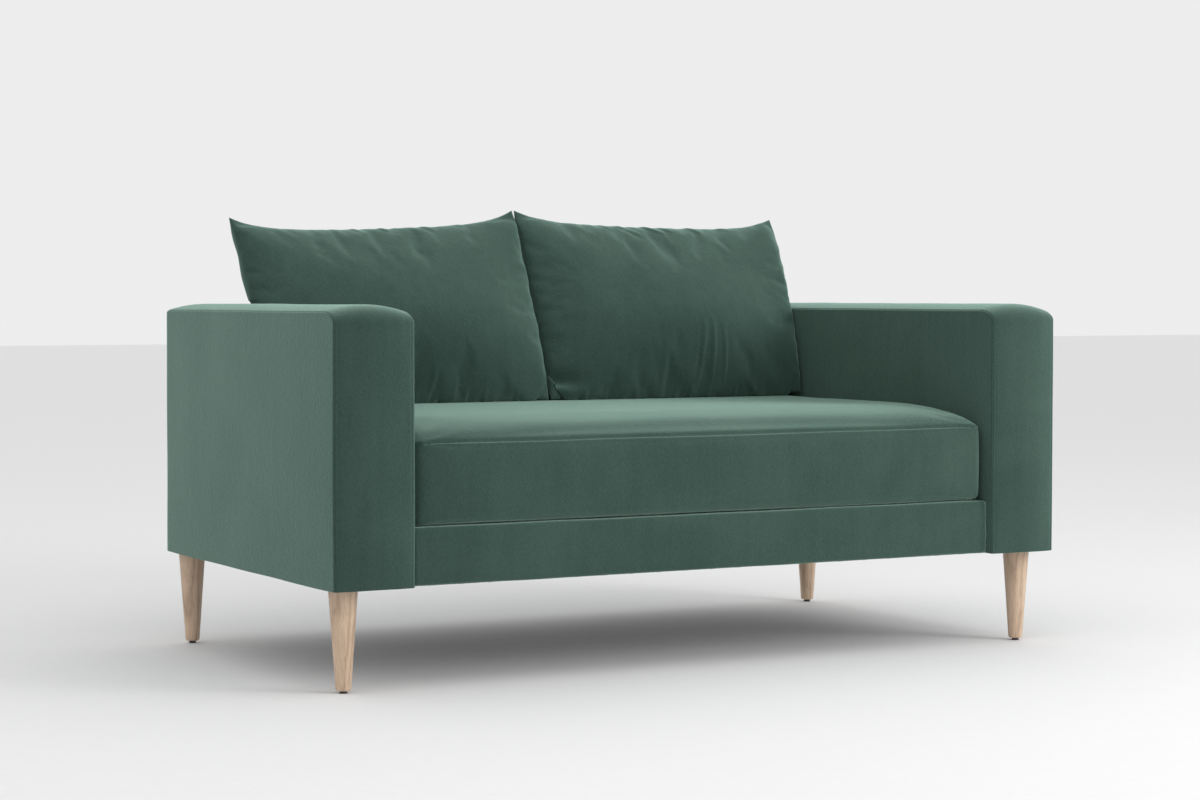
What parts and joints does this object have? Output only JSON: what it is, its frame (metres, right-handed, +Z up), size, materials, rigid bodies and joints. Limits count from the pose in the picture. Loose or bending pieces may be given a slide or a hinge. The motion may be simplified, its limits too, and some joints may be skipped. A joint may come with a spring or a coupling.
{
  "type": "sofa with wooden legs",
  "caption": "Two-seat upholstered sofa with box arms, a bench seat cushion, loose back cushions and tapered wooden legs.",
  "frame": {"origin": "on the floor, under the middle of the sofa's outer box", "axes": "+X along the seat, to the right as seen from the front; +Y from the front to the back; +Z up"},
  "size_m": [1.484, 0.84, 0.8249],
  "materials": {
    "velvet": "short-pile velvet",
    "foam": "open-cell foam",
    "dust_cloth": "non-woven cloth",
    "deck_cloth": "plain woven cloth",
    "webbing": "woven strap",
    "zip_tape": "woven tape",
    "frame_wood": "sawn softwood",
    "plywood": "sanded",
    "hardboard": "smooth",
    "leg_wood": "clear satin lacquer on pale wood",
    "spring_steel": "oiled wire",
    "zinc_steel": "zinc plated",
    "glide_plastic": "moulded",
    "zip_metal": "dark nickel"
  },
  "bodies": {
    "root": {"back_bottom_rail": "frame_wood", "back_cover": "velvet", "back_dust_cover": "dust_cloth", "back_front_pad": "foam", "back_rear_pad": "foam", "back_stiles": "frame_wood", "back_top_pad": "foam", "back_top_rail": "frame_wood", "back_webbing": "webbing", "base_center_brace": "frame_wood", "base_corner_blocks": "frame_wood", "base_dust_cover": "dust_cloth", "base_front_rail": "frame_wood", "base_rear_rail": "frame_wood", "base_side_rails": "frame_wood", "deck_cloth": "deck_cloth", "deck_pad": "foam", "frame_bolts": "zinc_steel", "front_rail_cover": "velvet", "front_rail_pad": "foam", "left_arm_band_pads": "foam", "left_arm_cover": "velvet", "left_arm_dust_cover": "dust_cloth", "left_arm_inner_pad": "foam", "left_arm_inner_panel": "plywood", "left_arm_outer_pad": "foam", "left_arm_outer_panel": "hardboard", "left_arm_posts": "frame_wood", "left_arm_rails": "frame_wood", "left_front_leg": "leg_wood", "left_rear_leg": "leg_wood", "leg_glides": "glide_plastic", "leg_hanger_screws": "zinc_steel", "right_arm_band_pads": "foam", "right_arm_cover": "velvet", "right_arm_dust_cover": "dust_cloth", "right_arm_inner_pad": "foam", "right_arm_inner_panel": "plywood", "right_arm_outer_pad": "foam", "right_arm_outer_panel": "hardboard", "right_arm_posts": "frame_wood", "right_arm_rails": "frame_wood", "right_front_leg": "leg_wood", "right_rear_leg": "leg_wood", "seat_springs": "spring_steel", "spring_clips": "spring_steel", "tee_nuts": "zinc_steel", "washers": "zinc_steel"},
    "seat_cushion": {"seat_core": "foam", "seat_cover": "velvet", "seat_zip": "zip_tape"},
    "seat_zip_pull": {"seat_zip_pull": "zip_metal"},
    "left_back_cushion": {"left_back_cushion_insert": "foam", "left_back_cushion_cover": "velvet", "left_back_cushion_zip": "zip_tape"},
    "left_back_cushion_zip_pull": {"left_back_cushion_zip_pull": "zip_metal"},
    "right_back_cushion": {"right_back_cushion_insert": "foam", "right_back_cushion_cover": "velvet", "right_back_cushion_zip": "zip_tape"},
    "right_back_cushion_zip_pull": {"right_back_cushion_zip_pull": "zip_metal"}
  },
  "joints": [
    {"name": "seat_cushion_lift", "type": "slide", "parent": "root", "child": "seat_cushion", "axis": [0, 0, 1], "range_m": [0, 0.4]},
    {"name": "seat_zip_slide", "type": "slide", "parent": "seat_cushion", "child": "seat_zip_pull", "axis": [1, 0, 0], "range_m": [0, 0.876]},
    {"name": "left_back_cushion_lift", "type": "slide", "parent": "seat_cushion", "child": "left_back_cushion", "axis": [0, 0, 1], "range_m": [0, 0.4]},
    {"name": "left_back_zip_slide", "type": "slide", "parent": "left_back_cushion", "child": "left_back_cushion_zip_pull", "axis": [1, 0, 0], "range_m": [0, 0.44]},
    {"name": "right_back_cushion_lift", "type": "slide", "parent": "seat_cushion", "child": "right_back_cushion", "axis": [0, 0, 1], "range_m": [0, 0.4]},
    {"name": "right_back_zip_slide", "type": "slide", "parent": "right_back_cushion", "child": "right_back_cushion_zip_pull", "axis": [1, 0, 0], "range_m": [0, 0.44]}
  ]
}
